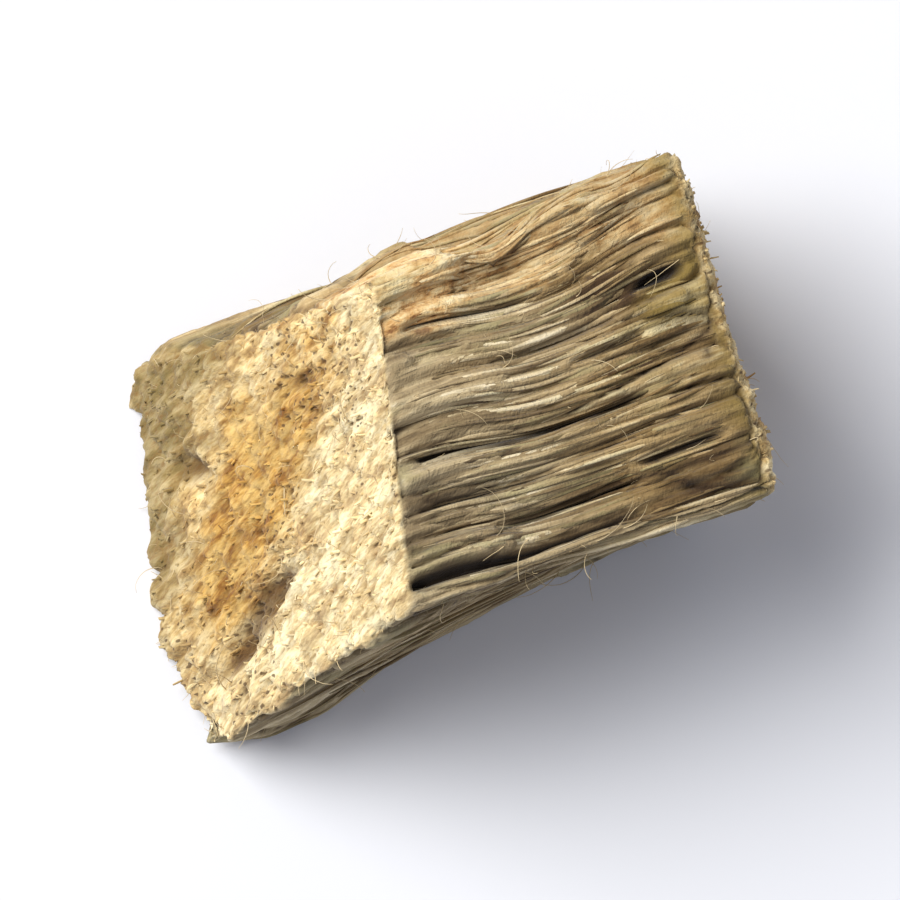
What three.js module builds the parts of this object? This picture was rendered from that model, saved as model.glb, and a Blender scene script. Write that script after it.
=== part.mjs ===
// One diced piece of dried kudzu root: a lopsided block of woody, starchy fibre, about 15 x 9 x 9 mm.
// The fibres run along X. Both ends were cut across them on the slant, and the four long sides were split
// along them, so the sides are ribbed with strands and open splits, and the ends show the strands' cut tips.
// Millimetres, +Z up. The origin is on the surface that the piece lies on, under the middle of its box.

import * as THREE from 'three';
import { mergeVertices } from 'three/addons/utils/BufferGeometryUtils.js';

// The block before it dried out of square: its length along the fibres, its width and its height.
const LENGTH = 10.8;
const WIDTH = 8.2;
const HEIGHT = 8.6;
const EDGE_RADIUS = 0.45;

// The eight corners that the block really has, as seen from above, with the left end's cut facing half up.
const CORNERS = {
  baseLeftFront: [-8.6, -4.79, 0],
  baseLeftBack: [-5.7, 4.56, 0],
  baseRightFront: [4.75, -3.79, 0],
  baseRightBack: [5.65, 3.81, 0],
  topLeftFront: [-2.05, -3.34, 8.7],
  topLeftBack: [0.3, 3.96, 8.9],
  topRightFront: [6.65, -4.24, 8.1],
  topRightBack: [7.6, 3.86, 8.3],
};

// The six sides: the way each faces and how hollow drying left it at its middle. Below zero it is swollen.
const SIDES = {
  left: { axis: 'x', sign: -1, hollow: 0.15 },
  right: { axis: 'x', sign: 1, hollow: -0.4 },
  front: { axis: 'y', sign: -1, hollow: 0.4 },
  back: { axis: 'y', sign: 1, hollow: -0.3 },
  under: { axis: 'z', sign: -1, hollow: 0.3 },
  top: { axis: 'z', sign: 1, hollow: 0.2 },
};

// Mesh steps along the fibres, across the width and up the height.
const STEPS = { along: 16, across: 40, up: 38 };

// Strands are the bundles of fibre. Each is a long rounded rod that tapers out at both ends.
const STRAND = { width: 0.85, length: 13, relief: 0.55, reliefAtEnds: 0.2, seed: 3 };
// The strands wander sideways a little on their way along the block.
const WANDER = { reach: 0.38, along: 4.6, across: 2.4, seed: 11 };
// A slow swell and dip runs over every side.
const SWELL = { relief: 0.26, along: 5.2, across: 2.9, seed: 23 };

// Splits that opened along the fibres as the piece dried, and wander with them. Each lies on one side, at a
// place across it, between two places along it.
const SPLITS = [
  { side: 'top', across: -0.85, from: -4.9, to: 3.0, depth: 0.6, half: 0.22 },
  { side: 'top', across: -2.35, from: 1.4, to: 4.9, depth: 0.5, half: 0.22 },
  { side: 'top', across: -2.7, from: -2.6, to: 2.2, depth: 0.45, half: 0.2 },
  { side: 'top', across: -3.5, from: -5.6, to: 2.0, depth: 0.7, half: 0.26 },
  { side: 'top', across: 1.35, from: 2.7, to: 5.0, depth: 0.85, half: 0.28 },
  { side: 'top', across: 0.45, from: 0.2, to: 3.3, depth: 0.4, half: 0.2 },
  { side: 'top', across: -1.9, from: -4.6, to: 0.2, depth: 0.35, half: 0.2 },
  { side: 'top', across: 2.3, from: -4.9, to: 0.4, depth: 0.4, half: 0.22 },
  { side: 'front', across: 1.6, from: -4.6, to: 1.4, depth: 0.7, half: 0.24 },
  { side: 'front', across: -1.2, from: -1.5, to: 5.2, depth: 0.6, half: 0.22 },
  { side: 'back', across: 2.1, from: -1.2, to: 5.4, depth: 0.7, half: 0.24 },
  { side: 'back', across: -0.7, from: -5.4, to: 1.0, depth: 0.6, half: 0.24 },
  { side: 'under', across: 1.3, from: -5.4, to: -0.8, depth: 0.6, half: 0.24 },
  { side: 'under', across: -2.0, from: -0.6, to: 5.4, depth: 0.55, half: 0.22 },
];
const SPLIT_TAPER = 1.1;

// Pits and torn cracks in the two cut ends: middle, half length, half width, lean from upright, and depth.
const PITS = [
  { end: 'left', y: -1.75, z: -0.9, long: 1.15, wide: 0.3, lean: 0.35, depth: 0.55 },
  { end: 'left', y: -2.5, z: -2.1, long: 0.8, wide: 0.25, lean: 0.2, depth: 0.4 },
  { end: 'left', y: 1.6, z: -2.6, long: 0.6, wide: 0.35, lean: -0.5, depth: 0.35 },
  { end: 'left', y: 2.4, z: 1.0, long: 0.5, wide: 0.25, lean: 0.1, depth: 0.3 },
  { end: 'right', y: 1.2, z: 0.8, long: 1.9, wide: 0.3, lean: 0.7, depth: 0.6 },
  { end: 'right', y: -1.9, z: -1.4, long: 1.2, wide: 0.35, lean: -0.3, depth: 0.5 },
  { end: 'right', y: -0.4, z: 2.7, long: 0.7, wide: 0.3, lean: 1.2, depth: 0.35 },
];

// The spot under the weight that is worn flat, where the piece bears hardest on the surface.
const BEARING = { x: 0.9, y: -0.1, radius: 1.7 };

// Where a corner or an edge has broken off blunt: the place, how far round it the break reaches, and depth.
const CHIPS = [
  { place: [-5.4, -4.1, -4.3], reach: 1.2, depth: 0.8 },
  { place: [-0.9, 4.1, 4.3], reach: 1.5, depth: 0.7 },
];

const clamp = (value, low, high) => Math.min(high, Math.max(low, value));
const ease = (low, high, value) => {
  const t = clamp((value - low) / (high - low), 0, 1);
  return t * t * (3 - 2 * t);
};

// A fixed draw from 0 to 1 for each cell of a lattice.
const draw = (i, j, k, seed) => {
  const v = Math.sin(i * 127.1 + j * 311.7 + k * 74.7 + seed * 53.3) * 43758.5453;
  return v - Math.floor(v);
};

// Smooth noise from -1 to 1, with one swell to each unit.
function smoothNoise(x, y, z, seed) {
  const cell = [x, y, z].map(Math.floor);
  const [u, v, w] = [x, y, z].map((value, axis) => {
    const t = value - cell[axis];
    return t * t * t * (t * (6 * t - 15) + 10);
  });
  let sum = 0;
  for (let corner = 0; corner < 8; corner++) {
    const [a, b, c] = [corner & 1, (corner >> 1) & 1, corner >> 2];
    const share = (a ? u : 1 - u) * (b ? v : 1 - v) * (c ? w : 1 - w);
    sum += share * draw(cell[0] + a, cell[1] + b, cell[2] + c, seed);
  }
  return 2 * sum - 1;
}

// The back of the strand at a point: 0 in the crease between two strands, up to 1 on a proud one.
function strandBack(x, y, z, { width, length, seed }) {
  const [px, py, pz] = [x / length, y / width, z / width];
  const [ci, cj, ck] = [px, py, pz].map(Math.floor);
  let nearest = Infinity;
  let next = Infinity;
  let proud = 0;
  for (let i = ci - 1; i <= ci + 1; i++) {
    for (let j = cj - 1; j <= cj + 1; j++) {
      for (let k = ck - 1; k <= ck + 1; k++) {
        const distance = Math.hypot(
          i + draw(i, j, k, seed) - px,
          j + draw(i, j, k, seed + 1) - py,
          k + draw(i, j, k, seed + 2) - pz,
        );
        if (distance < nearest) {
          next = nearest;
          nearest = distance;
          proud = draw(i, j, k, seed + 4);
        } else if (distance < next) {
          next = distance;
        }
      }
    }
  }
  const rod = Math.sqrt(Math.max(0, 1 - (nearest / next) ** 2));
  return rod * (0.55 + 0.45 * proud);
}

// How squarely a normal faces the way that a side does: 1 on the side, falling to 0 round its edges.
const facing = (side, normal) => ease(0.5, 0.9, SIDES[side].sign * normal[SIDES[side].axis]);

// How far the sides are hollowed at a point of the block's skin.
function hollowDepth(point, normal) {
  const reach = { x: point.x / LENGTH, y: point.y / WIDTH, z: point.z / HEIGHT };
  let depth = 0;
  for (const [side, { axis, hollow }] of Object.entries(SIDES)) {
    const [a, b] = ['x', 'y', 'z'].filter((other) => other !== axis).map((other) => reach[other]);
    depth += hollow * (1 - 4 * a * a) * (1 - 4 * b * b) * facing(side, normal);
  }
  return depth;
}

// How deep the splits, pits and chips cut at a point of the block's skin, whose place in the grain is given.
function cutDepth(point, normal, grain) {
  let depth = 0;
  for (const split of SPLITS) {
    const place = SIDES[split.side].axis === 'z' ? grain.y : grain.z;
    const off = (place - split.across) / split.half;
    const taper =
      ease(split.from, split.from + SPLIT_TAPER, point.x) *
      (1 - ease(split.to - SPLIT_TAPER, split.to, point.x));
    depth += split.depth * Math.exp(-off * off) * taper * facing(split.side, normal);
  }
  for (const pit of PITS) {
    const [dy, dz] = [point.y - pit.y, point.z - pit.z];
    const [c, s] = [Math.cos(pit.lean), Math.sin(pit.lean)];
    const along = (dz * c + dy * s) / pit.long;
    const aside = (dy * c - dz * s) / pit.wide;
    depth += pit.depth * Math.exp(-along * along - aside * aside) * facing(pit.end, normal);
  }
  for (const { place, reach, depth: deep } of CHIPS) {
    const off = point.distanceTo(new THREE.Vector3(...place)) / reach;
    depth += deep * Math.exp(-off * off);
  }
  return depth;
}

// How far the real skin stands off the plain rounded block at a point.
function relief(point, normal) {
  const endShare = normal.x * normal.x;
  const sway = (seed) =>
    WANDER.reach *
    smoothNoise(
      point.x / WANDER.along,
      point.y / WANDER.across,
      point.z / WANDER.across,
      WANDER.seed + seed,
    );
  const grain = { x: point.x, y: point.y + sway(0), z: point.z + sway(1) };
  const back = strandBack(grain.x, grain.y, grain.z, STRAND);
  const strands = (back - 0.6) * THREE.MathUtils.lerp(STRAND.relief, STRAND.reliefAtEnds, endShare);
  const swell =
    SWELL.relief *
    smoothNoise(
      point.x / SWELL.along,
      point.y / SWELL.across,
      point.z / SWELL.across,
      SWELL.seed,
    );
  return strands + swell - hollowDepth(point, normal) - cutDepth(point, normal, grain);
}

// Carries a point of the square block to its place in the real, lopsided one.
function outOfSquare(point) {
  const [u, v, w] = [point.x / LENGTH, point.y / WIDTH, point.z / HEIGHT].map((t) => t + 0.5);
  const between = (a, b, t) => new THREE.Vector3().lerpVectors(a, b, t);
  const at = (name) => new THREE.Vector3(...CORNERS[name]);
  const rail = (level, side) =>
    between(at(`${level}Left${side}`), at(`${level}Right${side}`), u);
  const level = (name) => between(rail(name, 'Front'), rail(name, 'Back'), v);
  return between(level('base'), level('top'), w);
}

// Lets the piece down onto the surface: the crests of its underside are pressed flat there.
function restOnSurface(point) {
  const underWeight = Math.hypot(point.x - BEARING.x, point.y - BEARING.y) < BEARING.radius;
  if (point.z < 0 || (underWeight && point.z < 1.5)) {
    point.z = 0;
  }
  return point;
}

function rootPiece() {
  const box = new THREE.BoxGeometry(LENGTH, WIDTH, HEIGHT, STEPS.along, STEPS.across, STEPS.up);
  box.deleteAttribute('normal');
  box.deleteAttribute('uv');
  const geometry = mergeVertices(box, 1e-4);
  const position = geometry.getAttribute('position');
  const core = new THREE.Vector3(LENGTH, WIDTH, HEIGHT).multiplyScalar(0.5).subScalar(EDGE_RADIUS);
  for (let i = 0; i < position.count; i++) {
    const point = new THREE.Vector3().fromBufferAttribute(position, i);
    const inner = point.clone().clamp(core.clone().negate(), core);
    const normal = point.clone().sub(inner).normalize();
    point.copy(inner).addScaledVector(normal, EDGE_RADIUS);
    point.addScaledVector(normal, relief(point, normal));
    position.setXYZ(i, ...restOnSurface(outOfSquare(point)));
  }
  geometry.computeVertexNormals();
  return geometry;
}

const driedRoot = new THREE.MeshStandardMaterial({
  color: '#a58e65',
  roughness: 0.92,
  metalness: 0,
});

const kudzuRoot = new THREE.Mesh(rootPiece(), driedRoot);
kudzuRoot.name = 'kudzu_root_cube';

const part = new THREE.Group();
part.add(kudzuRoot);

export default part;
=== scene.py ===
import itertools
import math

import bmesh
import bpy
import numpy as np
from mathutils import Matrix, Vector


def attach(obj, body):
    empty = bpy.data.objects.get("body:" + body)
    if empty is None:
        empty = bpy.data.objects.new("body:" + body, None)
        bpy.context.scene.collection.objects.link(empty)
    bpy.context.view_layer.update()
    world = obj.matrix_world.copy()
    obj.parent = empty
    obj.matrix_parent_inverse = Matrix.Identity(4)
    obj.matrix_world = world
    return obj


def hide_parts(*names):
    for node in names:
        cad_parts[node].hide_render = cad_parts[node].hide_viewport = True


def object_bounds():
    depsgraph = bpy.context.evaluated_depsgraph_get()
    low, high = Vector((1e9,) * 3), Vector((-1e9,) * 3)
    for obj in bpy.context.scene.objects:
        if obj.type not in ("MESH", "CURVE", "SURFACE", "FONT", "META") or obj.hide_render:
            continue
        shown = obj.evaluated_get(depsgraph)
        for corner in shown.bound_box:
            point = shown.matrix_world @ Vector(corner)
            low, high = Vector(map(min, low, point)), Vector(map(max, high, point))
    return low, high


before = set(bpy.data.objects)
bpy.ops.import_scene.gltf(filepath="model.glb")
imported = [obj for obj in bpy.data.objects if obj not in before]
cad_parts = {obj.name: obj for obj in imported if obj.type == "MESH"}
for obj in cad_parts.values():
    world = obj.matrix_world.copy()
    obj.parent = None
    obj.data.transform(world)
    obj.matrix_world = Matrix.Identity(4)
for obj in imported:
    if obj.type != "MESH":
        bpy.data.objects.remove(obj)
cad_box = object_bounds()

# The block. The real piece is one dice of dried kudzu root: long strands of woody fibre packed in starch.
# It was split along the strands, cut across them with a blade, and it shrank out of square as it dried.
# Lengths are in millimetres until the mesh is finished: X along the strands, Y across, Z up.

MM = 0.001

# The block before it dried out of square, and the radius that its edges are worn to.
BLOCK = np.array([10.8, 8.2, 8.6])
EDGE_RADIUS = 0.45

# The eight corners that it really has, by left or right end, front or back and base or top.
CORNERS = {
    (0, 0, 0): (-8.6, -4.79, 0.0),
    (0, 1, 0): (-5.7, 4.56, 0.0),
    (1, 0, 0): (4.75, -3.79, 0.0),
    (1, 1, 0): (5.65, 3.81, 0.0),
    (0, 0, 1): (-2.05, -3.34, 8.7),
    (0, 1, 1): (0.3, 3.96, 8.9),
    (1, 0, 1): (6.65, -4.24, 8.1),
    (1, 1, 1): (7.6, 3.86, 8.3),
}

# The six sides: axis, the way that each faces, and how hollow drying left it at its middle.
SIDES = {
    "left": (0, -1, 0.15),
    "right": (0, 1, -0.4),
    "front": (1, -1, 0.4),
    "back": (1, 1, -0.3),
    "under": (2, -1, 0.3),
    "top": (2, 1, 0.2),
}

# Splits that opened along the strands and wander with them: side, place across it, from and to along it,
# depth and half width.
SPLITS = [
    ("top", -0.85, -4.9, 3.0, 0.6, 0.22),
    ("top", -2.35, 1.4, 4.9, 0.5, 0.22),
    ("top", -2.7, -2.6, 2.2, 0.45, 0.2),
    ("top", -3.5, -5.6, 2.0, 0.7, 0.26),
    ("top", 1.35, 2.7, 5.0, 0.85, 0.28),
    ("top", 0.45, 0.2, 3.3, 0.4, 0.2),
    ("top", -1.9, -4.6, 0.2, 0.35, 0.2),
    ("top", 2.3, -4.9, 0.4, 0.4, 0.22),
    ("front", 1.6, -4.6, 1.4, 0.7, 0.24),
    ("front", -1.2, -1.5, 5.2, 0.6, 0.22),
    ("back", 2.1, -1.2, 5.4, 0.7, 0.24),
    ("back", -0.7, -5.4, 1.0, 0.6, 0.24),
    ("under", 1.3, -5.4, -0.8, 0.6, 0.24),
    ("under", -2.0, -0.6, 5.4, 0.55, 0.22),
]
SPLIT_TAPER = 1.1
SPLIT_SHARPNESS = 0.55

# Pits and torn cracks in the cut ends: end, place (Y, Z), half length, half width, lean from upright and
# depth.
PITS = [
    ("left", -1.75, -0.9, 1.15, 0.3, 0.35, 0.55),
    ("left", -2.5, -2.1, 0.8, 0.25, 0.2, 0.4),
    ("left", 1.6, -2.6, 0.6, 0.35, -0.5, 0.35),
    ("left", 2.4, 1.0, 0.5, 0.25, 0.1, 0.3),
    ("right", 1.2, 0.8, 1.9, 0.3, 0.7, 0.6),
    ("right", -1.9, -1.4, 1.2, 0.35, -0.3, 0.5),
    ("right", -0.4, 2.7, 0.7, 0.3, 1.2, 0.35),
]

# Where a corner or an edge has broken off blunt: place, how far round it the break reaches, and depth.
CHIPS = [((-5.4, -4.1, -4.3), 1.2, 0.8), ((-0.9, 4.1, 4.3), 1.5, 0.7)]

# Coarse strands make the ribs, fine ones lie in them, and threads on those: width, length, relief and
# seed. A share of each one's height is its own.
COARSE_STRAND = (0.85, 13.0, 0.46, 3)
COARSE_UNEVEN, COARSE_RELIEF_AT_ENDS = 0.45, 0.2
FINE_STRAND = (0.36, 7.0, 0.2, 41)
FINE_UNEVEN = 0.5
THREAD = (0.17, 4.5, 0.09, 47)
THREAD_UNEVEN = 0.6
WANDER, WANDER_PACE, WANDER_SEED = 0.38, np.array([4.6, 2.4, 2.4]), 11
SWELL, SWELL_PACE, SWELL_SEED = 0.26, np.array([5.2, 2.9, 2.9]), 23

# Thin layers have peeled off in long patches. On the ends the strands tore off at uneven lengths, in
# lines along the wood's rays, which lean from upright.
PEEL_DEPTH, PEEL_PACE, PEEL_SEED = 0.16, np.array([3.4, 0.8, 0.8]), 61
TIP_SIZE, TIP_RELIEF, TIP_UNEVEN, TIP_SEED = np.array([40, 0.23, 0.42]), 0.07, 0.09, 71
RAY_LEAN = 0.4

# Open vessels run along the strands and show on the ends, in bands: how far apart, radius, depth and
# seed, and how long, wide and high a band is.
VESSEL_PITCH, VESSEL_RADIUS, VESSEL_DEPTH, VESSEL_SEED = 0.72, 0.08, 0.16, 83
VESSEL_BAND = np.array([60, 2.6, 0.9])

# Crumbs of starch lie along the rays: size, relief and seed.
CRUMBS = [((0.24, 0.2, 0.45), 0.045, 91), ((0.13, 0.11, 0.22), 0.045, 97)]

# The orange patch on the cut ends: its middle (Y, Z), half length, half height and lean.
ORANGE_MIDDLE, ORANGE_REACH, ORANGE_LEAN = (0.4, -0.8), (3.7, 1.6), 0.69

# Dark patches on the top, and one pale one: middle (X, Y), half length, half width and how dark.
STAINS = [(1.9, 1.5, 1.3, 0.5, 0.8), (4.0, -3.1, 1.4, 0.5, 0.5), (4.4, 0.3, 0.9, 0.7, -0.4)]

# Patches that break up the edges of the colours and of the wear: size, how far they move an edge, and
# seed.
ORANGE_PATCHES = [((1.1, 1.1, 1.1), 0.3, 101), ((0.4, 0.4, 0.4), 0.22, 103)]
OLIVE_PATCHES = ((2.2, 0.9, 0.9), 0.8, 107)
PINK_PATCHES = ((3.2, 1.3, 1.3), 2.6, 113)
TAN_PATCHES = ((1.6, 0.8, 0.8), 0.6, 127)
WORN_PATCHES = ((2.4, 0.9, 0.9), 0.6, 131)

# The spot under the weight that is worn flat: X, Y and radius. Skin over it that would be lower than this
# is pressed down to the table.
BEARING = (0.9, -0.1, 1.7)
BEARING_REACH = 1.5


def ease(low, high, value):
    """0 below low, 1 above high, and smooth in between."""
    t = np.clip((value - low) / (high - low), 0, 1)
    return t * t * (3 - 2 * t)


def draw(cell, seed):
    """A fixed draw from 0 to 1 for each cell of a lattice."""
    v = np.sin(cell @ np.array([127.1, 311.7, 74.7]) + seed * 53.3) * 43758.5453
    return v - np.floor(v)


def smooth_noise(place, seed):
    """Smooth noise from -1 to 1, with one swell to each unit."""
    cell = np.floor(place)
    t = place - cell
    t = t * t * t * (t * (6 * t - 15) + 10)
    total = np.zeros(len(place))
    for corner in itertools.product((0, 1), repeat=3):
        share = np.prod(np.where(corner, t, 1 - t), axis=1)
        total += share * draw(cell + corner, seed)
    return 2 * total - 1


def nearest_cells(place, seed, along=1.0):
    """How far the nearest and the next of a scatter of points are, one to a cell, and the nearest one's
    draw. Distance along the strands counts by a share."""
    home = np.floor(place)
    nearest = np.full(len(place), np.inf)
    following = np.full(len(place), np.inf)
    own = np.zeros(len(place))
    for step in itertools.product((-1, 0, 1), repeat=3):
        cell = home + step
        point = cell + np.stack([draw(cell, seed + axis) for axis in range(3)], axis=1)
        distance = np.linalg.norm((point - place) * (along, 1, 1), axis=1)
        closer = distance < nearest
        following = np.where(closer, nearest, np.minimum(following, distance))
        own = np.where(closer, draw(cell, seed + 4), own)
        nearest = np.minimum(nearest, distance)
    return nearest, following, own


def rods(place, width, length, seed):
    """Long rounded rods side by side: the height, 0 in a crease to 1 on a back, and each one's draw."""
    nearest, following, own = nearest_cells(place / np.array([length, width, width]), seed)
    return np.sqrt(np.maximum(0, 1 - (nearest / following) ** 2)), own


def rounded(point):
    """Moves points of the square block onto its rounded skin, and gives the way that each faces."""
    core = BLOCK / 2 - EDGE_RADIUS
    inner = np.clip(point, -core, core)
    normal = point - inner
    normal /= np.linalg.norm(normal, axis=1, keepdims=True)
    return inner + normal * EDGE_RADIUS, normal


def facing(side, normal):
    """1 on a side, falling to 0 round its edges."""
    axis, way, _ = SIDES[side]
    return ease(0.5, 0.9, way * normal[:, axis])


def hollow_depth(point, normal):
    """How far drying hollowed the sides."""
    bow = 1 - 4 * (point / BLOCK) ** 2
    depth = np.zeros(len(point))
    for side, (axis, _, hollow) in SIDES.items():
        across = [other for other in range(3) if other != axis]
        depth += hollow * bow[:, across[0]] * bow[:, across[1]] * facing(side, normal)
    return depth


def split_depth(point, normal, grain):
    """How deep the splits along the strands are."""
    depth = np.zeros(len(point))
    for side, across, start, end, deep, half in SPLITS:
        place = grain[:, 1] if SIDES[side][0] == 2 else grain[:, 2]
        off = (place - across) / (half * SPLIT_SHARPNESS)
        taper = ease(start, start + SPLIT_TAPER, point[:, 0])
        taper = taper * (1 - ease(end - SPLIT_TAPER, end, point[:, 0]))
        depth += deep * np.exp(-np.abs(off) ** 1.5) * taper * facing(side, normal)
    return depth


def pit_depth(point, normal):
    """How deep the pits and cracks in the cut ends are."""
    depth = np.zeros(len(point))
    for end, y, z, long, wide, lean, deep in PITS:
        dy, dz = point[:, 1] - y, point[:, 2] - z
        along = (dz * math.cos(lean) + dy * math.sin(lean)) / long
        aside = (dy * math.cos(lean) - dz * math.sin(lean)) / wide
        depth += deep * np.exp(-along * along - aside * aside) * facing(end, normal)
    return depth


def chip_depth(point):
    """How deep the broken corners and edges are."""
    off = [np.linalg.norm(point - place, axis=1) / reach for place, reach, _ in CHIPS]
    return sum(deep * np.exp(-away * away) for away, (_, _, deep) in zip(off, CHIPS))


def out_of_square(point):
    """Carries points of the square block to their places in the real, lopsided one."""
    share = point / BLOCK + 0.5
    place = np.zeros_like(point)
    for corner, corner_place in CORNERS.items():
        weight = np.prod(np.where(corner, share, 1 - share), axis=1)
        place += weight[:, None] * np.array(corner_place)
    return place


def grain_of(point):
    """The place of each point among the wandering strands."""
    sway = [WANDER * smooth_noise(point / WANDER_PACE, WANDER_SEED + n) for n in range(2)]
    return point + np.stack([np.zeros(len(point)), *sway], axis=1)


def along_rays(place):
    """Places turned about X, so that Z runs along the rays."""
    y = place[:, 1] * math.cos(RAY_LEAN) - place[:, 2] * math.sin(RAY_LEAN)
    z = place[:, 1] * math.sin(RAY_LEAN) + place[:, 2] * math.cos(RAY_LEAN)
    return np.stack([place[:, 0], y, z], axis=1)


def patches(point, size, reach, seed):
    """How far patches move the edge of a colour or of wear."""
    return reach * smooth_noise(point / size, seed)


def orange_share(point):
    """Where the starchy cut ends are orange-tan: a slanting band, and less so all below it on the left
    end and above it on the right one."""
    height = np.where(point[:, 0] < 0, point[:, 2], -point[:, 2])
    y, z = point[:, 1] - ORANGE_MIDDLE[0], height - ORANGE_MIDDLE[1]
    along = (y * math.cos(ORANGE_LEAN) + z * math.sin(ORANGE_LEAN)) / ORANGE_REACH[0]
    aside = (z * math.cos(ORANGE_LEAN) - y * math.sin(ORANGE_LEAN)) / ORANGE_REACH[1]
    mottle = sum(patches(point, *layer) for layer in ORANGE_PATCHES)
    band = 1 - ease(0.5, 1.4, np.hypot(along, aside) + mottle)
    return np.maximum(band, 0.4 * ease(-0.2, 0.9, -aside + mottle))


def olive_and_rim_shade_share(point, normal):
    """Where the root is olive-brown: painted shade low at the back of the left end, and its own colour at
    the right end of the sides.
    """
    at_end = normal[:, 0] ** 2
    patchy = patches(point, *OLIVE_PATCHES)
    low = ease(-1.0, 1.6, -2.9 - point[:, 2] + 0.45 * point[:, 1] + 1.2 * patchy)
    right = ease(0.0, 1.6, point[:, 0] - 3.3 + 2.2 * patchy)
    return low * at_end + right * (1 - at_end)


def pink_share(point, normal):
    """Where the sides have weathered pinkish grey: the left half of the top, and most of the front."""
    left = 1 - ease(-3.0, 2.4, point[:, 0] + patches(point, *PINK_PATCHES))
    return np.maximum(left, 0.8 * ease(0.3, 0.8, -normal[:, 1])) * (1 - ease(0.2, 0.7, normal[:, 1]))


def tan_share(point):
    """Where bark-side fibre is left, tan with rusty spots: the upper back edge, palest at the left."""
    strip = ease(2.1, 2.7, point[:, 1] + patches(point, *TAN_PATCHES)) * ease(1.0, 2.5, point[:, 2])
    return strip * (1 - 0.5 * ease(-2.5, -0.5, point[:, 0]))


def worn_share(point, normal):
    """Where the top is rubbed smooth: its back half, most of all at the left."""
    back = ease(-0.4, 0.7, point[:, 1] + patches(point, *WORN_PATCHES))
    back = back * (1 - 0.5 * ease(-2.5, 2.0, point[:, 0]))
    return back * ease(0.3, 0.8, normal[:, 2])


def stain_shade(point, normal):
    """How much the patches on the top darken it."""
    shade = np.zeros(len(point))
    for x, y, long, wide, dark in STAINS:
        shade += dark * np.exp(-(((point[:, 0] - x) / long) ** 2) - ((point[:, 1] - y) / wide) ** 2)
    return shade * ease(0.3, 0.8, normal[:, 2])


def skin(square, lift=0.0):
    """The real skin over points of the square block, lifted a little, and what the finish has to know."""
    point, normal = rounded(square)
    at_end = normal[:, 0] ** 2
    on_side = 1 - at_end
    grain = grain_of(point)

    width, length, relief, seed = COARSE_STRAND
    coarse_rod, coarse_own = rods(grain, width, length, seed)
    coarse_back = coarse_rod * (1 - COARSE_UNEVEN + COARSE_UNEVEN * coarse_own)
    height = (coarse_back - 0.6) * (relief * on_side + COARSE_RELIEF_AT_ENDS * at_end)
    height += SWELL * smooth_noise(point / SWELL_PACE, SWELL_SEED)
    splits = split_depth(point, normal, grain)
    pits = pit_depth(point, normal)
    height -= hollow_depth(point, normal) + splits + pits + chip_depth(point)

    worn = worn_share(point, normal)
    tan = tan_share(point)
    width, length, relief, seed = FINE_STRAND
    fine_rod, fine_own = rods(grain, width, length, seed)
    fine_back = fine_rod**2 * (1 - FINE_UNEVEN + FINE_UNEVEN * fine_own)
    height += (fine_back - 0.5) * relief * on_side * (1 - 0.5 * worn)
    peel = ease(-0.08, 0.08, smooth_noise(grain / PEEL_PACE, PEEL_SEED) + 0.25 * (fine_own - 0.5))
    height -= PEEL_DEPTH * peel * on_side
    width, length, relief, seed = THREAD
    thread_rod, thread_own = rods(grain, width, length, seed)
    thread_back = thread_rod * (1 - THREAD_UNEVEN + THREAD_UNEVEN * thread_own)
    height += (thread_back - 0.5) * relief * on_side

    tip_rod, tip_own = rods(along_rays(grain) / TIP_SIZE, 1, 1, TIP_SEED)
    height += ((tip_rod - 0.6) * TIP_RELIEF + (tip_own - 0.5) * TIP_UNEVEN) * at_end
    vessel_place = grain / (VESSEL_BAND[0], VESSEL_PITCH, VESSEL_PITCH)
    vessel, _, vessel_own = nearest_cells(vessel_place, VESSEL_SEED, along=0)
    band = ease(-0.1, 0.15, smooth_noise(grain / VESSEL_BAND, VESSEL_SEED))
    bore = VESSEL_RADIUS * (0.5 + 0.7 * vessel_own) / VESSEL_PITCH
    pore = (1 - ease(0.5, 1.1, vessel / bore)) * band * at_end
    height -= VESSEL_DEPTH * pore
    for size, relief, seed in CRUMBS:
        height += relief * smooth_noise(along_rays(point) / size, seed) * (0.3 + 0.7 * at_end)

    place = out_of_square(point + normal * (height + lift)[:, None])
    under_weight = np.hypot(place[:, 0] - BEARING[0], place[:, 1] - BEARING[1]) < BEARING[2]
    place[(place[:, 2] < 0) | (under_weight & (place[:, 2] < BEARING_REACH)), 2] = 0
    # Painted shade: the creases between strands, the gaps between tips on the cut ends, and the splits
    # and cracks are darkened in colour, most where they lie deepest. Worn and tan skin takes less in its
    # creases.
    side_crease_shade = np.maximum((1 - coarse_rod) ** 2, 0.75 * (1 - fine_rod) ** 2)
    side_crease_shade = np.maximum(side_crease_shade, 0.4 * (1 - thread_rod) ** 2)
    side_crease_shade *= (1 - 0.65 * worn) * (1 - 0.5 * tan)
    side_tone = 0.4 * coarse_own + 0.3 * fine_own + 0.3 * thread_own - stain_shade(point, normal)
    facts = {
        "grain": grain + normal * height[:, None],
        "cut": at_end,
        "crease": np.clip(side_crease_shade * on_side + (1 - tip_rod) ** 2 * at_end, 0, 1),
        "split": np.clip((splits + pits) / 0.5, 0, 1),
        "tone": side_tone * on_side + tip_own * at_end,
        "pore": pore,
        "dotted": band * at_end,
        "block": point + normal * height[:, None],
        "orange": orange_share(point),
        "olive": olive_and_rim_shade_share(point, normal),
        "pink": pink_share(point, normal),
        "tan": tan,
    }
    return place, facts


# Mesh steps along the strands, across the width and up the height.
BLOCK_STEPS = (84, 148, 150)

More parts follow.
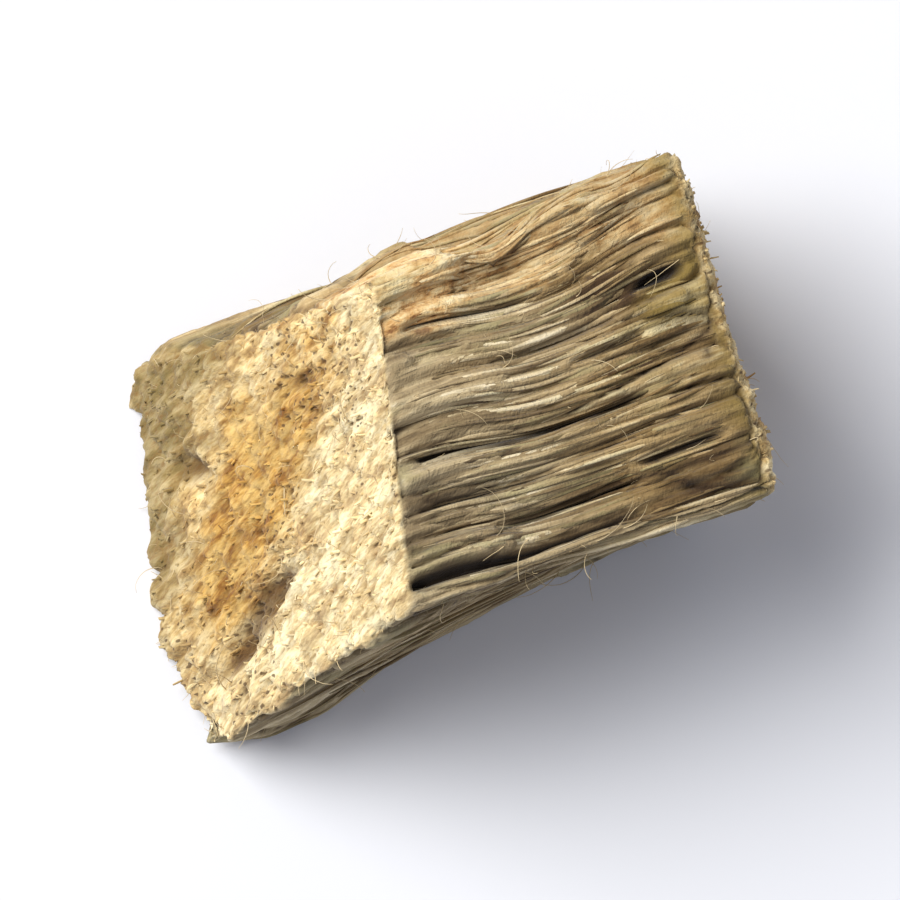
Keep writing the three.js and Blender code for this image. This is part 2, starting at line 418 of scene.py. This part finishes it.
block = bmesh.new()
bmesh.ops.create_cube(block, size=1)
bmesh.ops.scale(block, vec=Vector(BLOCK), verts=block.verts)
for axis, steps in enumerate(BLOCK_STEPS):
    edges = [e for e in block.edges if abs(e.verts[0].co[axis] - e.verts[1].co[axis]) > 1e-6]
    bmesh.ops.subdivide_edges(block, edges=edges, cuts=steps - 1, use_grid_fill=True)
square = np.array([vert.co for vert in block.verts])
places, facts = skin(square)
for vert, place in zip(block.verts, places):
    vert.co = Vector(place) * MM
bmesh.ops.recalc_face_normals(block, faces=block.faces)


def add_piece(name, bm, material, facts):
    """A finished object of a bmesh in metres, with what the finish has to know in its attributes."""
    mesh = bpy.data.meshes.new(name)
    bm.to_mesh(mesh)
    bm.free()
    mesh.polygons.foreach_set("use_smooth", [True] * len(mesh.polygons))
    for key, values in facts.items():
        kind, field = ("FLOAT_VECTOR", "vector") if values.ndim == 2 else ("FLOAT", "value")
        attribute = mesh.attributes.new(key, kind, "POINT")
        attribute.data.foreach_set(field, values.astype(np.float32).ravel())
    mesh.materials.append(material)
    piece = bpy.data.objects.new(name, mesh)
    bpy.context.scene.collection.objects.link(piece)
    return piece


# The finish: bare dried root, woody fibre and starch as the knife and the drying left them, so it is matt
# and dusty. The split sides are grey-brown fibre with pale threads, and painted shade darkens their
# creases and splits. The cut ends are cream and orange-tan starch with brown vessel pores, with
# olive-brown painted shade low on them and painted shade in the gaps between tips and in the cracks.


def colour(code):
    """A colour socket's value for an sRGB hex code."""
    parts = [int(code[n : n + 2], 16) / 255 for n in (1, 3, 5)]
    return (*[c / 12.92 if c <= 0.04045 else ((c + 0.055) / 1.055) ** 2.4 for c in parts], 1)


def add_node(tree, kind, settings=None, links=None):
    """A node of a kind, with its settings and socket values by name, and the sockets that feed it."""
    node = tree.nodes.new(kind)
    for name, value in (settings or {}).items():
        if isinstance(name, str) and hasattr(node, name):
            setattr(node, name, value)
        else:
            node.inputs[name].default_value = value
    for name, source in (links or {}).items():
        tree.links.new(source, node.inputs[name])
    return node


def set_ramp(node, stops):
    """Gives a colour ramp its stops, as (place, sRGB hex)."""
    elements = node.color_ramp.elements
    while len(elements) < len(stops):
        elements.new(0.5)
    for element, (place, code) in zip(elements, stops):
        element.position = place
        element.color = colour(code)


def lay_coats(tree, base, coats):
    """Colours laid over a base one after another: each coat's source, the values of it between which the
    coat comes in, how strong it gets, and its sRGB hex."""
    for source, low, high, strength, code in coats:
        share = add_node(
            tree,
            "ShaderNodeMapRange",
            {"From Min": low, "From Max": high, "To Max": strength},
            {"Value": source},
        )
        coated = add_node(
            tree,
            "ShaderNodeMix",
            {"data_type": "RGBA", 7: colour(code)},
            {0: share.outputs["Result"], 6: base},
        )
        base = coated.outputs[2]
    return base


root = bpy.data.materials.new("dried_starchy_root")
root.use_nodes = True
tree = root.node_tree
tree.nodes.clear()
fact = {key: add_node(tree, "ShaderNodeAttribute", {"attribute_name": key}) for key in facts}

# Patterns: what they follow, their real size in millimetres, their detail and its roughness. Thread
# streaks, broader bands, blotches and rusty spots follow the strands. Starch grit and clustered flecks
# lie along the rays.
PATTERNS = {
    "thread": ("grain", (2.0, 0.1, 0.1), 4, 0.65),
    "band": ("grain", (5.0, 0.45, 0.45), 3, 0.6),
    "blotch": ("grain", (3.5, 1.8, 1.8), 4, 0.6),
    "rust": ("grain", (0.9, 0.4, 0.4), 4, 0.65),
    "grit": ("block", (0.09, 0.09, 0.2), 2, 0.6),
    "fleck": ("block", (0.6, 0.35, 0.9), 3, 0.72),
}
PATTERN_LEAN = {"grain": 0, "block": -RAY_LEAN}
pattern = {}
for name, (follows, size, detail, roughness) in PATTERNS.items():
    place = add_node(
        tree,
        "ShaderNodeMapping",
        {"vector_type": "TEXTURE", "Rotation": (PATTERN_LEAN[follows], 0, 0), "Scale": size},
        {"Vector": fact[follows].outputs["Vector"]},
    )
    noise = add_node(
        tree,
        "ShaderNodeTexNoise",
        {"Scale": 1, "Detail": detail, "Roughness": roughness},
        {"Vector": place.outputs["Vector"]},
    )
    pattern[name] = noise.outputs["Fac"]

# The sides: the shade of each strand, streaked, brown or weathered to a pinkish grey.
STREAKS = {"band": 0.55, "thread": 0.5}
shade = add_node(
    tree,
    "ShaderNodeMath",
    {"operation": "MULTIPLY", 1: 0.4},
    {0: fact["tone"].outputs["Fac"]},
)
for name, strength in STREAKS.items():
    shade = add_node(
        tree,
        "ShaderNodeMath",
        {"operation": "MULTIPLY_ADD", 1: strength},
        {0: pattern[name], 2: shade.outputs["Value"]},
    )
side_colour = add_node(tree, "ShaderNodeValToRGB", links={"Fac": shade.outputs["Value"]})
set_ramp(
    side_colour,
    [(0.46, "#4a341a"), (0.6, "#755c35"), (0.74, "#947a4e"), (0.86, "#b89c6c"), (0.97, "#e3cf9f")],
)
grey_colour = add_node(tree, "ShaderNodeValToRGB", links={"Fac": shade.outputs["Value"]})
set_ramp(
    grey_colour,
    [(0.46, "#4a3926"), (0.6, "#84704f"), (0.74, "#aa956f"), (0.86, "#c9b58c"), (0.97, "#e8d8b4")],
)
side_colour = add_node(
    tree,
    "ShaderNodeMix",
    {"data_type": "RGBA"},
    {0: fact["pink"].outputs["Fac"], 6: side_colour.outputs["Color"], 7: grey_colour.outputs["Color"]},
)

# The tan strip with its rusty spots goes over that, then faintly green blotches, the olive stain, and
# painted shade in the creases and the splits.
rust_colour = add_node(tree, "ShaderNodeValToRGB", links={"Fac": pattern["rust"]})
set_ramp(rust_colour, [(0.33, "#7f5127"), (0.41, "#c99a5d"), (0.53, "#ebcc93"), (0.68, "#f8e6ba")])
tan_patch = add_node(
    tree,
    "ShaderNodeMath",
    {"operation": "MULTIPLY", 1: 0.95},
    {0: fact["tan"].outputs["Fac"]},
)
side_colour = add_node(
    tree,
    "ShaderNodeMix",
    {"data_type": "RGBA"},
    {0: tan_patch.outputs["Value"], 6: side_colour.outputs[2], 7: rust_colour.outputs["Color"]},
)
side_coats = [
    (pattern["blotch"], 0.52, 0.66, 0.45, "#a09b6c"),
    (fact["olive"].outputs["Fac"], 0.0, 1.0, 0.6, "#85702f"),
    (fact["crease"].outputs["Fac"], 0.12, 0.68, 0.9, "#35230f"),
    (fact["split"].outputs["Fac"], 0.25, 0.85, 0.94, "#261809"),
]
coated_side = lay_coats(tree, side_colour.outputs[2], side_coats)

# The cut ends: cream or orange-tan starch, each strand's tip its own shade, with flecks that show most in
# the orange patch.
end_colour = add_node(
    tree,
    "ShaderNodeMix",
    {"data_type": "RGBA", 6: colour("#f4e3b6"), 7: colour("#d1ad66")},
    {0: fact["orange"].outputs["Fac"]},
)
tip_shade = add_node(
    tree,
    "ShaderNodeMapRange",
    {"To Min": 0.8, "To Max": 1.26},
    {"Value": fact["tone"].outputs["Fac"]},
)
end_colour = add_node(
    tree,
    "ShaderNodeMix",
    {"data_type": "RGBA", "blend_type": "MULTIPLY", 0: 1.0},
    {6: end_colour.outputs[2], 7: tip_shade.outputs["Result"]},
)
fleck_shade = add_node(tree, "ShaderNodeValToRGB", links={"Fac": pattern["fleck"]})
set_ramp(fleck_shade, [(0.37, "#9d7c45"), (0.47, "#dccaa6"), (0.55, "#f6f1e6"), (0.63, "#ffffff")])
fleck_share = add_node(
    tree,
    "ShaderNodeMapRange",
    {"To Min": 0.7, "To Max": 1.0},
    {"Value": fact["orange"].outputs["Fac"]},
)
end_colour = add_node(
    tree,
    "ShaderNodeMix",
    {"data_type": "RGBA", "blend_type": "MULTIPLY"},
    {0: fleck_share.outputs["Result"], 6: end_colour.outputs[2], 7: fleck_shade.outputs["Color"]},
)

# The olive-brown painted shade low on the cut ends is deepest in the flecks.
olive_rim_shade = add_node(
    tree,
    "ShaderNodeMapRange",
    {"From Min": 0.4, "From Max": 0.6, "To Min": 1.0, "To Max": 0.7},
    {"Value": pattern["fleck"]},
)
olive_rim_shade = add_node(
    tree,
    "ShaderNodeMath",
    {"operation": "MULTIPLY"},
    {0: olive_rim_shade.outputs["Result"], 1: fact["olive"].outputs["Fac"]},
)

# Fine vessels up to 0.09 mm wide and 0.25 mm apart, in the same bands as the big ones.
DOT_PITCH = 0.25
dot_place = add_node(
    tree,
    "ShaderNodeMapping",
    {"Rotation": (0, math.pi / 2, 0), "Scale": (1, 1 / DOT_PITCH, 1 / DOT_PITCH)},
    {"Vector": fact["grain"].outputs["Vector"]},
)
dots = add_node(
    tree,
    "ShaderNodeTexVoronoi",
    {"voronoi_dimensions": "2D", "Scale": 1},
    {"Vector": dot_place.outputs["Vector"]},
)
dot = add_node(
    tree,
    "ShaderNodeMapRange",
    {"From Min": 0.18, "From Max": 0.08},
    {"Value": dots.outputs["Distance"]},
)
dot = add_node(
    tree,
    "ShaderNodeMath",
    {"operation": "MULTIPLY"},
    {0: dot.outputs["Result"], 1: fact["dotted"].outputs["Fac"]},
)
pore_share = add_node(
    tree,
    "ShaderNodeMath",
    {"operation": "MAXIMUM"},
    {0: dot.outputs["Value"], 1: fact["pore"].outputs["Fac"]},
)

# Coats over the ends: olive-brown painted shade low on them, specks of grit, painted shade in the gaps
# between tips and in the cracks, and the pores.
end_coats = [
    (olive_rim_shade.outputs["Value"], 0.0, 1.0, 1.0, "#7d6a3a"),
    (pattern["grit"], 0.54, 0.68, 0.4, "#8a6432"),
    (fact["crease"].outputs["Fac"], 0.15, 0.8, 0.6, "#86602d"),
    (fact["split"].outputs["Fac"], 0.2, 0.75, 0.85, "#5c3f1b"),
    (pore_share.outputs["Value"], 0.15, 0.7, 0.8, "#4d3417"),
]
coated_end = lay_coats(tree, end_colour.outputs[2], end_coats)
end_share = add_node(
    tree,
    "ShaderNodeMapRange",
    {"From Min": 0.35, "From Max": 0.65},
    {"Value": fact["cut"].outputs["Fac"]},
)
root_colour = add_node(
    tree,
    "ShaderNodeMix",
    {"data_type": "RGBA"},
    {0: end_share.outputs["Result"], 6: coated_side, 7: coated_end},
)

# Thread and grit relief too fine for the mesh. The surface is rough and powdery, so it hardly shines.
thread_bump = add_node(
    tree,
    "ShaderNodeBump",
    {"Distance": 0.05 * MM, "Strength": 1.0},
    {"Height": pattern["thread"]},
)
grit_bump = add_node(
    tree,
    "ShaderNodeBump",
    {"Distance": 0.04 * MM, "Strength": 1.0},
    {"Height": pattern["grit"], "Normal": thread_bump.outputs["Normal"]},
)
skin_shader = add_node(
    tree,
    "ShaderNodeBsdfPrincipled",
    {"Roughness": 0.92, "Specular IOR Level": 0.25, "Sheen Weight": 0.12, "Sheen Roughness": 0.6},
    {"Base Color": root_colour.outputs[2], "Normal": grit_bump.outputs["Normal"]},
)
add_node(tree, "ShaderNodeOutputMaterial", links={"Surface": skin_shader.outputs["BSDF"]})

kudzu_block = add_piece("kudzu_block", block, root, facts)
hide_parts("kudzu_root_cube")
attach(kudzu_block, "root")

# Loose strands. Where the block was split, single strands of its own fibre lie half peeled on the long
# sides. Most are still flat in their places, and some have an end that has sprung free.


def draw_out(paths, sides, ups, widths, depths, corners):
    """Closed strands, each extruded ring by ring along its path. Gives the bmesh, each vertex's strand
    and ring, and its place in the section."""
    bm = bmesh.new()
    number = bm.faces.layers.int.new("strand")
    tips = []
    for strand in range(len(paths)):
        wedge = bmesh.ops.create_cone(
            bm, cap_ends=True, segments=corners, radius1=1, radius2=1, depth=1
        )
        faces = {face for vert in wedge["verts"] for face in vert.link_faces}
        tip = max(faces, key=lambda face: face.calc_center_median().z)
        tip[number] = strand
        tips.append(tip)
    placed = []
    for tip in tips:
        for corner, vert in enumerate(tip.verts):
            foot = next(edge.other_vert(vert) for edge in vert.link_edges if edge not in tip.edges[:])
            placed.append((foot, tip[number], 0, corner))
            placed.append((vert, tip[number], 1, corner))
    for ring in range(2, paths.shape[1]):
        tips = bmesh.ops.extrude_discrete_faces(bm, faces=tips)["faces"]
        placed.extend((vert, tip[number], ring, n) for tip in tips for n, vert in enumerate(tip.verts))
    bm.verts.index_update()
    owner = np.zeros((len(bm.verts), 2), int)
    section = np.zeros((len(bm.verts), 3))
    for vert, strand, ring, corner in placed:
        angle = 2 * math.pi * corner / corners
        across = math.cos(angle) * widths[strand, ring] / 2
        up = math.sin(angle) * depths[strand, ring] / 2
        place = paths[strand, ring] + across * sides[strand, ring] + up * ups[strand, ring]
        vert.co = Vector((place[0], place[1], max(place[2], 0))) * MM
        owner[vert.index] = strand, ring
        section[vert.index] = 0, across, up
    bmesh.ops.recalc_face_normals(bm, faces=bm.faces)
    return bm, owner, section


def unit(vectors):
    """The vectors at length one."""
    return vectors / np.linalg.norm(vectors, axis=-1, keepdims=True)


def lay_on_block(square, lift, turn):
    """Paths of strands on the block, from points of the square block, and the ways across and up."""
    shape = square.shape
    place, facts = skin(square.reshape(-1, 3), lift.ravel())
    point, normal = rounded(square.reshape(-1, 3))
    here = out_of_square(point)
    across = unit(out_of_square(point + 0.1 * unit(np.cross(normal, (1.0, 0.0, 0.0)))) - here)
    up = unit(out_of_square(point + 0.1 * normal) - here)
    c, s = np.cos(turn.ravel())[:, None], np.sin(turn.ravel())[:, None]
    across, up = c * across + s * up, c * up - s * across
    return place.reshape(shape), across.reshape(shape), up.reshape(shape), facts


def smoothed(paths, times):
    """Paths with their small kinks eased out, as stiff strands lie."""
    for _ in range(times):
        paths[:, 1:-1] = (paths[:, :-2] + 2 * paths[:, 1:-1] + paths[:, 2:]) / 4
    return paths


STRAND_COUNT = 820
STRAND_RINGS = 22
STRAND_CORNERS = 5
STRAND_SIDES = {"top": 0.34, "front": 0.25, "back": 0.23, "under": 0.18}
STRAND_LENGTH = (1.6, 8.5)
STRAND_WIDTH = (0.06, 0.2)
STRAND_DEPTH = (0.06, 0.13)
STRAND_TONE = (0.1, 1.0)

# How far strands keep from the ends and the long edges, how high they lie, how far their ends dive in,
# how far they drift across, and how they are rolled and twisted, in radians.
END_MARGIN, EDGE_MARGIN = 0.15, 0.2
STRAND_LIFT, STRAND_DIVE = (-0.04, 0.03), 0.1
STRAND_DRIFT = 0.2
STRAND_ROLL, STRAND_TWIST = 0.5, 0.8

# The share of strands that have sprung, how far, and from where along them.
SPRUNG_SHARE, SPRUNG_LIFT, SPRUNG_FROM = 0.12, (0.06, 0.2), 0.6

rng = np.random.default_rng(19)
sides = rng.choice(list(STRAND_SIDES), STRAND_COUNT, p=list(STRAND_SIDES.values()))
share = np.linspace(0, 1, STRAND_RINGS)
square = np.zeros((STRAND_COUNT, STRAND_RINGS, 3))
lift = np.zeros((STRAND_COUNT, STRAND_RINGS))
strand_width = np.zeros_like(lift)
strand_depth = np.zeros_like(lift)
for n, side in enumerate(sides):
    axis, way, _ = SIDES[side]
    across = 3 - axis
    length = rng.uniform(*STRAND_LENGTH)
    start = rng.uniform(-BLOCK[0] / 2 + END_MARGIN, BLOCK[0] / 2 - END_MARGIN - length)
    place = rng.uniform(-BLOCK[across] / 2 + EDGE_MARGIN, BLOCK[across] / 2 - EDGE_MARGIN)
    square[n, :, 0] = start + length * share
    square[n, :, across] = place + rng.uniform(-STRAND_DRIFT, STRAND_DRIFT) * share
    square[n, :, axis] = way * BLOCK[axis] / 2
    square[n, :, across] -= (grain_of(square[n]) - square[n])[:, across]
    taper = np.sin(np.pi * (share * 0.98 + 0.01)) ** 0.5
    strand_width[n] = rng.uniform(*STRAND_WIDTH) * taper
    strand_depth[n] = rng.uniform(*STRAND_DEPTH) * taper
    lift[n] = rng.uniform(*STRAND_LIFT) - STRAND_DIVE * (1 - taper)
    if rng.random() < SPRUNG_SHARE and side != "under":
        ending = share if rng.random() < 0.5 else share[::-1]
        lift[n] += rng.uniform(*SPRUNG_LIFT) * ease(SPRUNG_FROM, 1.0, ending)
square = np.clip(square, -BLOCK / 2, BLOCK / 2)
roll = rng.uniform(-STRAND_ROLL, STRAND_ROLL, (STRAND_COUNT, 1))
turn = roll + rng.uniform(-STRAND_TWIST, STRAND_TWIST, (STRAND_COUNT, 1)) * share
paths, acrosses, ups, facts = lay_on_block(square, lift, turn)
paths = smoothed(paths, 3)
paths[:, :, 2] = np.maximum(paths[:, :, 2], strand_width / 2)
strands, owner, section = draw_out(paths, acrosses, ups, strand_width, strand_depth, STRAND_CORNERS)

# Each strand has a tone of its own and its own stretch of the pattern. One that lies over a crease takes
# only part of the painted shade there, and one over a split takes all of it.
CREASE_SHADE_TAKEN = 0.6
PATTERN_SHIFT = 3
strand_tone = rng.uniform(*STRAND_TONE, STRAND_COUNT)
shift = rng.uniform(-PATTERN_SHIFT, PATTERN_SHIFT, (STRAND_COUNT, 3))
index = owner[:, 0] * STRAND_RINGS + owner[:, 1]
strand_facts = {
    "grain": facts["grain"][index] + section + shift[owner[:, 0]],
    "block": facts["block"][index] + section,
    "tone": strand_tone[owner[:, 0]],
    "olive": facts["olive"][index],
    "pink": facts["pink"][index],
    "tan": facts["tan"][index],
    "crease": CREASE_SHADE_TAKEN * facts["crease"][index],
    "split": facts["split"][index],
}
kudzu_strands = add_piece("kudzu_strands", strands, root, strand_facts)
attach(kudzu_strands, "root")

# Cut tips. On both ends the blade and the drying left the strands' tips standing a little proud of the
# starch. They are rooted in the block, and lie lower near the rims, which are worn.

TIP_COUNT = 2600
TIP_RINGS = 4
TIP_CORNERS = 5
LEFT_END_SHARE = 0.55
TIP_MARGIN = 0.15
TIP_RADIUS = (0.04, 0.11)
TIP_TAPER = np.array([1.0, 1.0, 0.95, 0.75])
TIP_LEAN = 0.06

# Most tips end just under or just over the starch, and a few stand taller. One in an open pore is thin.
TIP_ROOT = 0.15
TIP_REACH = (-0.02, 0.08)
LONG_TIP_SHARE, LONG_TIP_REACH = 0.06, (0.04, 0.18)
WORN_RIM = 1.3
PORE_FROM, THIN_IN_PORE = 0.3, 0.3

tip_share = np.linspace(0, 1, TIP_RINGS)
square = np.zeros((TIP_COUNT, TIP_RINGS, 3))
way = np.where(rng.random(TIP_COUNT) < LEFT_END_SHARE, -1, 1)
square[:, :, 0] = (way * BLOCK[0] / 2)[:, None]
square[:, :, 1:] = (rng.uniform(-0.5, 0.5, (TIP_COUNT, 2)) * (BLOCK[1:] - 2 * TIP_MARGIN))[:, None]
reach = rng.uniform(*TIP_REACH, TIP_COUNT)
reach += rng.uniform(*LONG_TIP_REACH, TIP_COUNT) * (rng.random(TIP_COUNT) < LONG_TIP_SHARE)
inset = (BLOCK[1:] / 2 - np.abs(square[:, 0, 1:])).min(axis=1)
reach *= ease(0.0, WORN_RIM, inset)
lift = -TIP_ROOT + (TIP_ROOT + reach)[:, None] * tip_share
stub, facts = skin(square.reshape(-1, 3), lift.ravel())
stub = stub.reshape(TIP_COUNT, TIP_RINGS, 3)
stub += rng.normal(0, TIP_LEAN, (TIP_COUNT, 1, 3)) * (tip_share**2)[None, :, None]
radius = rng.uniform(*TIP_RADIUS, (TIP_COUNT, 1)) * TIP_TAPER
in_pore = facts["pore"].reshape(TIP_COUNT, TIP_RINGS)[:, :1] > PORE_FROM
radius *= np.where(in_pore, THIN_IN_PORE, 1.0)
stub[:, :, 2] = np.maximum(stub[:, :, 2], radius / 2)
across = np.broadcast_to(np.array([0.0, 1.0, 0.0]), stub.shape)
up = np.broadcast_to(np.array([0.0, 0.0, 1.0]), stub.shape)
tips, owner, section = draw_out(stub, across, up, radius, radius, TIP_CORNERS)
index = owner[:, 0] * TIP_RINGS + owner[:, 1]
# The tips carry the painted shade of the cracks, and the olive-brown painted shade low on the ends.
tip_facts = {
    "grain": facts["grain"][index] + section,
    "block": facts["block"][index] + section,
    "tone": rng.uniform(*STRAND_TONE, TIP_COUNT)[owner[:, 0]],
    "cut": np.ones(len(index)),
    "split": facts["split"][index],
    "orange": facts["orange"][index],
    "olive": facts["olive"][index],
}
kudzu_tips = add_piece("kudzu_strand_tips", tips, root, tip_facts)
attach(kudzu_tips, "root")

# Fuzz. Single fibres that the blade and the splitting tore loose stand and curl from the cut ends and
# the split sides. Each is still rooted in the skin.

HAIR_COUNT = 620
HAIR_RINGS = 12
HAIR_CORNERS = 3
HAIR_SIDES = {"top": 0.2, "front": 0.15, "back": 0.15, "left": 0.3, "right": 0.2}
HAIR_MARGIN = 0.1
HAIR_ROOT = 0.05
HAIR_WIDTH, HAIR_TAPER = (0.018, 0.036), 0.7

# Most hairs are short: their lengths are a gamma draw, of this shape and scale, over the shortest.
HAIR_SHORTEST, HAIR_LONGEST = 0.15, 2.0
HAIR_SPREAD = (2.0, 0.25)

# How steeply hairs rise from the skin, and the share that stand up, by how much more.
HAIR_RISE = (0.05, 0.4)
STANDING_SHARE, STANDING_RISE = 0.12, 0.8

# How they stray from the strands' way, curl, and waver from ring to ring.
HAIR_STRAY, HAIR_CURL, HAIR_CURL_STEP, HAIR_WAVER = 0.15, 0.9, 0.12, 0.05

hair_share = np.linspace(0, 1, HAIR_RINGS)
square = np.zeros((HAIR_COUNT, 3))
heading = np.zeros((HAIR_COUNT, 3))
for n in range(HAIR_COUNT):
    side = rng.choice(list(HAIR_SIDES), p=list(HAIR_SIDES.values()))
    axis, way, _ = SIDES[side]
    spot = rng.uniform(-0.5, 0.5, 3) * (BLOCK - 2 * HAIR_MARGIN)
    if axis == 0:
        heading[n] = rng.normal(0, 1, 3) * (0, 1, 1)
    else:
        heading[n] = rng.normal(0, HAIR_STRAY, 3) + (math.copysign(1.0, rng.normal()), 0, 0)
    heading[n, axis] = way * rng.uniform(*HAIR_RISE)
    if rng.random() < STANDING_SHARE:
        heading[n, axis] += way * STANDING_RISE
    spot[axis] = way * BLOCK[axis] / 2
    square[n] = spot
foot, _ = skin(square, -HAIR_ROOT)
heading = unit(heading)
hair_length = np.minimum(rng.gamma(*HAIR_SPREAD, HAIR_COUNT) + HAIR_SHORTEST, HAIR_LONGEST)
curl = rng.normal(0, HAIR_CURL, (HAIR_COUNT, 3))
paths = np.zeros((HAIR_COUNT, HAIR_RINGS, 3))
paths[:, 0] = foot
for ring in range(1, HAIR_RINGS):
    paths[:, ring] = paths[:, ring - 1] + heading * (hair_length / (HAIR_RINGS - 1))[:, None]
    waver = rng.normal(0, HAIR_WAVER, (HAIR_COUNT, 3))
    heading = unit(heading + np.cross(curl, heading) * HAIR_CURL_STEP + waver)
hair_width = rng.uniform(*HAIR_WIDTH, (HAIR_COUNT, 1)) * (1 - HAIR_TAPER * hair_share)

# A hair that would reach further out of the block's own box, or nearer to the table, is made shorter.
HAIR_ROOM = 0.1
HAIR_CLEARANCE = 0.02
box_low, box_high = (np.array(corner) / MM for corner in cad_box)
room = np.where(paths > foot[:, None], box_high + HAIR_ROOM, box_low - HAIR_ROOM) - foot[:, None]
falls = paths[:, :, 2] <= foot[:, None, 2]
room[:, :, 2] = np.where(falls, HAIR_CLEARANCE - foot[:, None, 2], room[:, :, 2])
reached = np.abs(paths - foot[:, None]) / np.maximum(np.abs(room), 1e-6)
paths = foot[:, None] + (paths - foot[:, None]) / np.maximum(1, reached.max(axis=(1, 2)))[:, None, None]
tangent = unit(np.gradient(paths, axis=1) + 1e-9)
across = unit(np.cross(tangent, (0.3, 0.2, 1.0)))
up = np.cross(across, tangent)
hairs, *_ = draw_out(paths, across, up, hair_width, hair_width, HAIR_CORNERS)

# Bare plant fibre, stripped clean: pale straw, and a little smoother than the starchy skin.
straw = bpy.data.materials.new("pale_root_thread")
straw.use_nodes = True
thread = straw.node_tree.nodes["Principled BSDF"]
thread.inputs["Base Color"].default_value = colour("#d8c193")
thread.inputs["Roughness"].default_value = 0.7
kudzu_fuzz = add_piece("kudzu_fuzz", hairs, straw, {})
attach(kudzu_fuzz, "root")

# The studio: a plain white table top, seen from straight above, with the piece's strands running up to
# the right in the picture.

TABLE_SIZE = 1.5
table = bmesh.new()
bmesh.ops.create_grid(table, x_segments=1, y_segments=1, size=TABLE_SIZE / 2)

# Uncoated white board, cool in tone, with no shine.
paper = bpy.data.materials.new("matt_white_board")
paper.use_nodes = True
board = paper.node_tree.nodes["Principled BSDF"]
board.inputs["Base Color"].default_value = colour("#e9e9eb")
board.inputs["Roughness"].default_value = 0.9
table_top = add_piece("table_top", table, paper, {})

# Cool, even light from all round, which fills the shadows.
FILL_STRENGTH = 0.37
world = bpy.data.worlds.new("studio")
bpy.context.scene.world = world
world.use_nodes = True
world.node_tree.nodes["Background"].inputs["Color"].default_value = colour("#eaefff")
world.node_tree.nodes["Background"].inputs["Strength"].default_value = FILL_STRENGTH

# The key light stands to the upper left of the picture, wide enough for soft shadows: how far to the
# right, up the picture and up from the table.
PICTURE_TURN = math.radians(24)
picture_right = Vector((math.cos(PICTURE_TURN), -math.sin(PICTURE_TURN), 0))
picture_up = Vector((math.sin(PICTURE_TURN), math.cos(PICTURE_TURN), 0))
KEY_TOWARD = (-0.95, 0.62, 1.28)
KEY_SIZE, KEY_DISTANCE, KEY_POWER = 0.5, 0.7, 7.0
toward_key = picture_right * KEY_TOWARD[0] + picture_up * KEY_TOWARD[1] + Vector((0, 0, KEY_TOWARD[2]))
key_lamp = bpy.data.lights.new("key_light", "AREA")
key_lamp.size = KEY_SIZE
key_lamp.energy = KEY_POWER
key_light = bpy.data.objects.new("key_light", key_lamp)
bpy.context.scene.collection.objects.link(key_light)
key_light.location = toward_key.normalized() * KEY_DISTANCE
key_light.rotation_euler = (-toward_key).to_track_quat("-Z", "Y").to_euler()

# Straight overhead, half a metre up, framed so that the piece fills most of the picture.
CAMERA_HEIGHT = 0.5
FRAME_WIDTH = 0.0205
SENSOR_WIDTH = 36
outline = np.stack([places @ np.array(picture_right), places @ np.array(picture_up)], axis=1) * MM
middle = (outline.min(axis=0) + outline.max(axis=0)) / 2
camera_data = bpy.data.cameras.new("camera")
camera_data.sensor_width = SENSOR_WIDTH
camera_data.lens = SENSOR_WIDTH * CAMERA_HEIGHT / FRAME_WIDTH
camera_data.clip_start = 0.01
camera_data.clip_end = 10
camera = bpy.data.objects.new("camera", camera_data)
bpy.context.scene.collection.objects.link(camera)
camera.location = picture_right * middle[0] + picture_up * middle[1] + Vector((0, 0, CAMERA_HEIGHT))
camera.rotation_euler = (0, 0, -PICTURE_TURN)
bpy.context.scene.camera = camera
bpy.context.scene.view_settings.view_transform = "Standard"
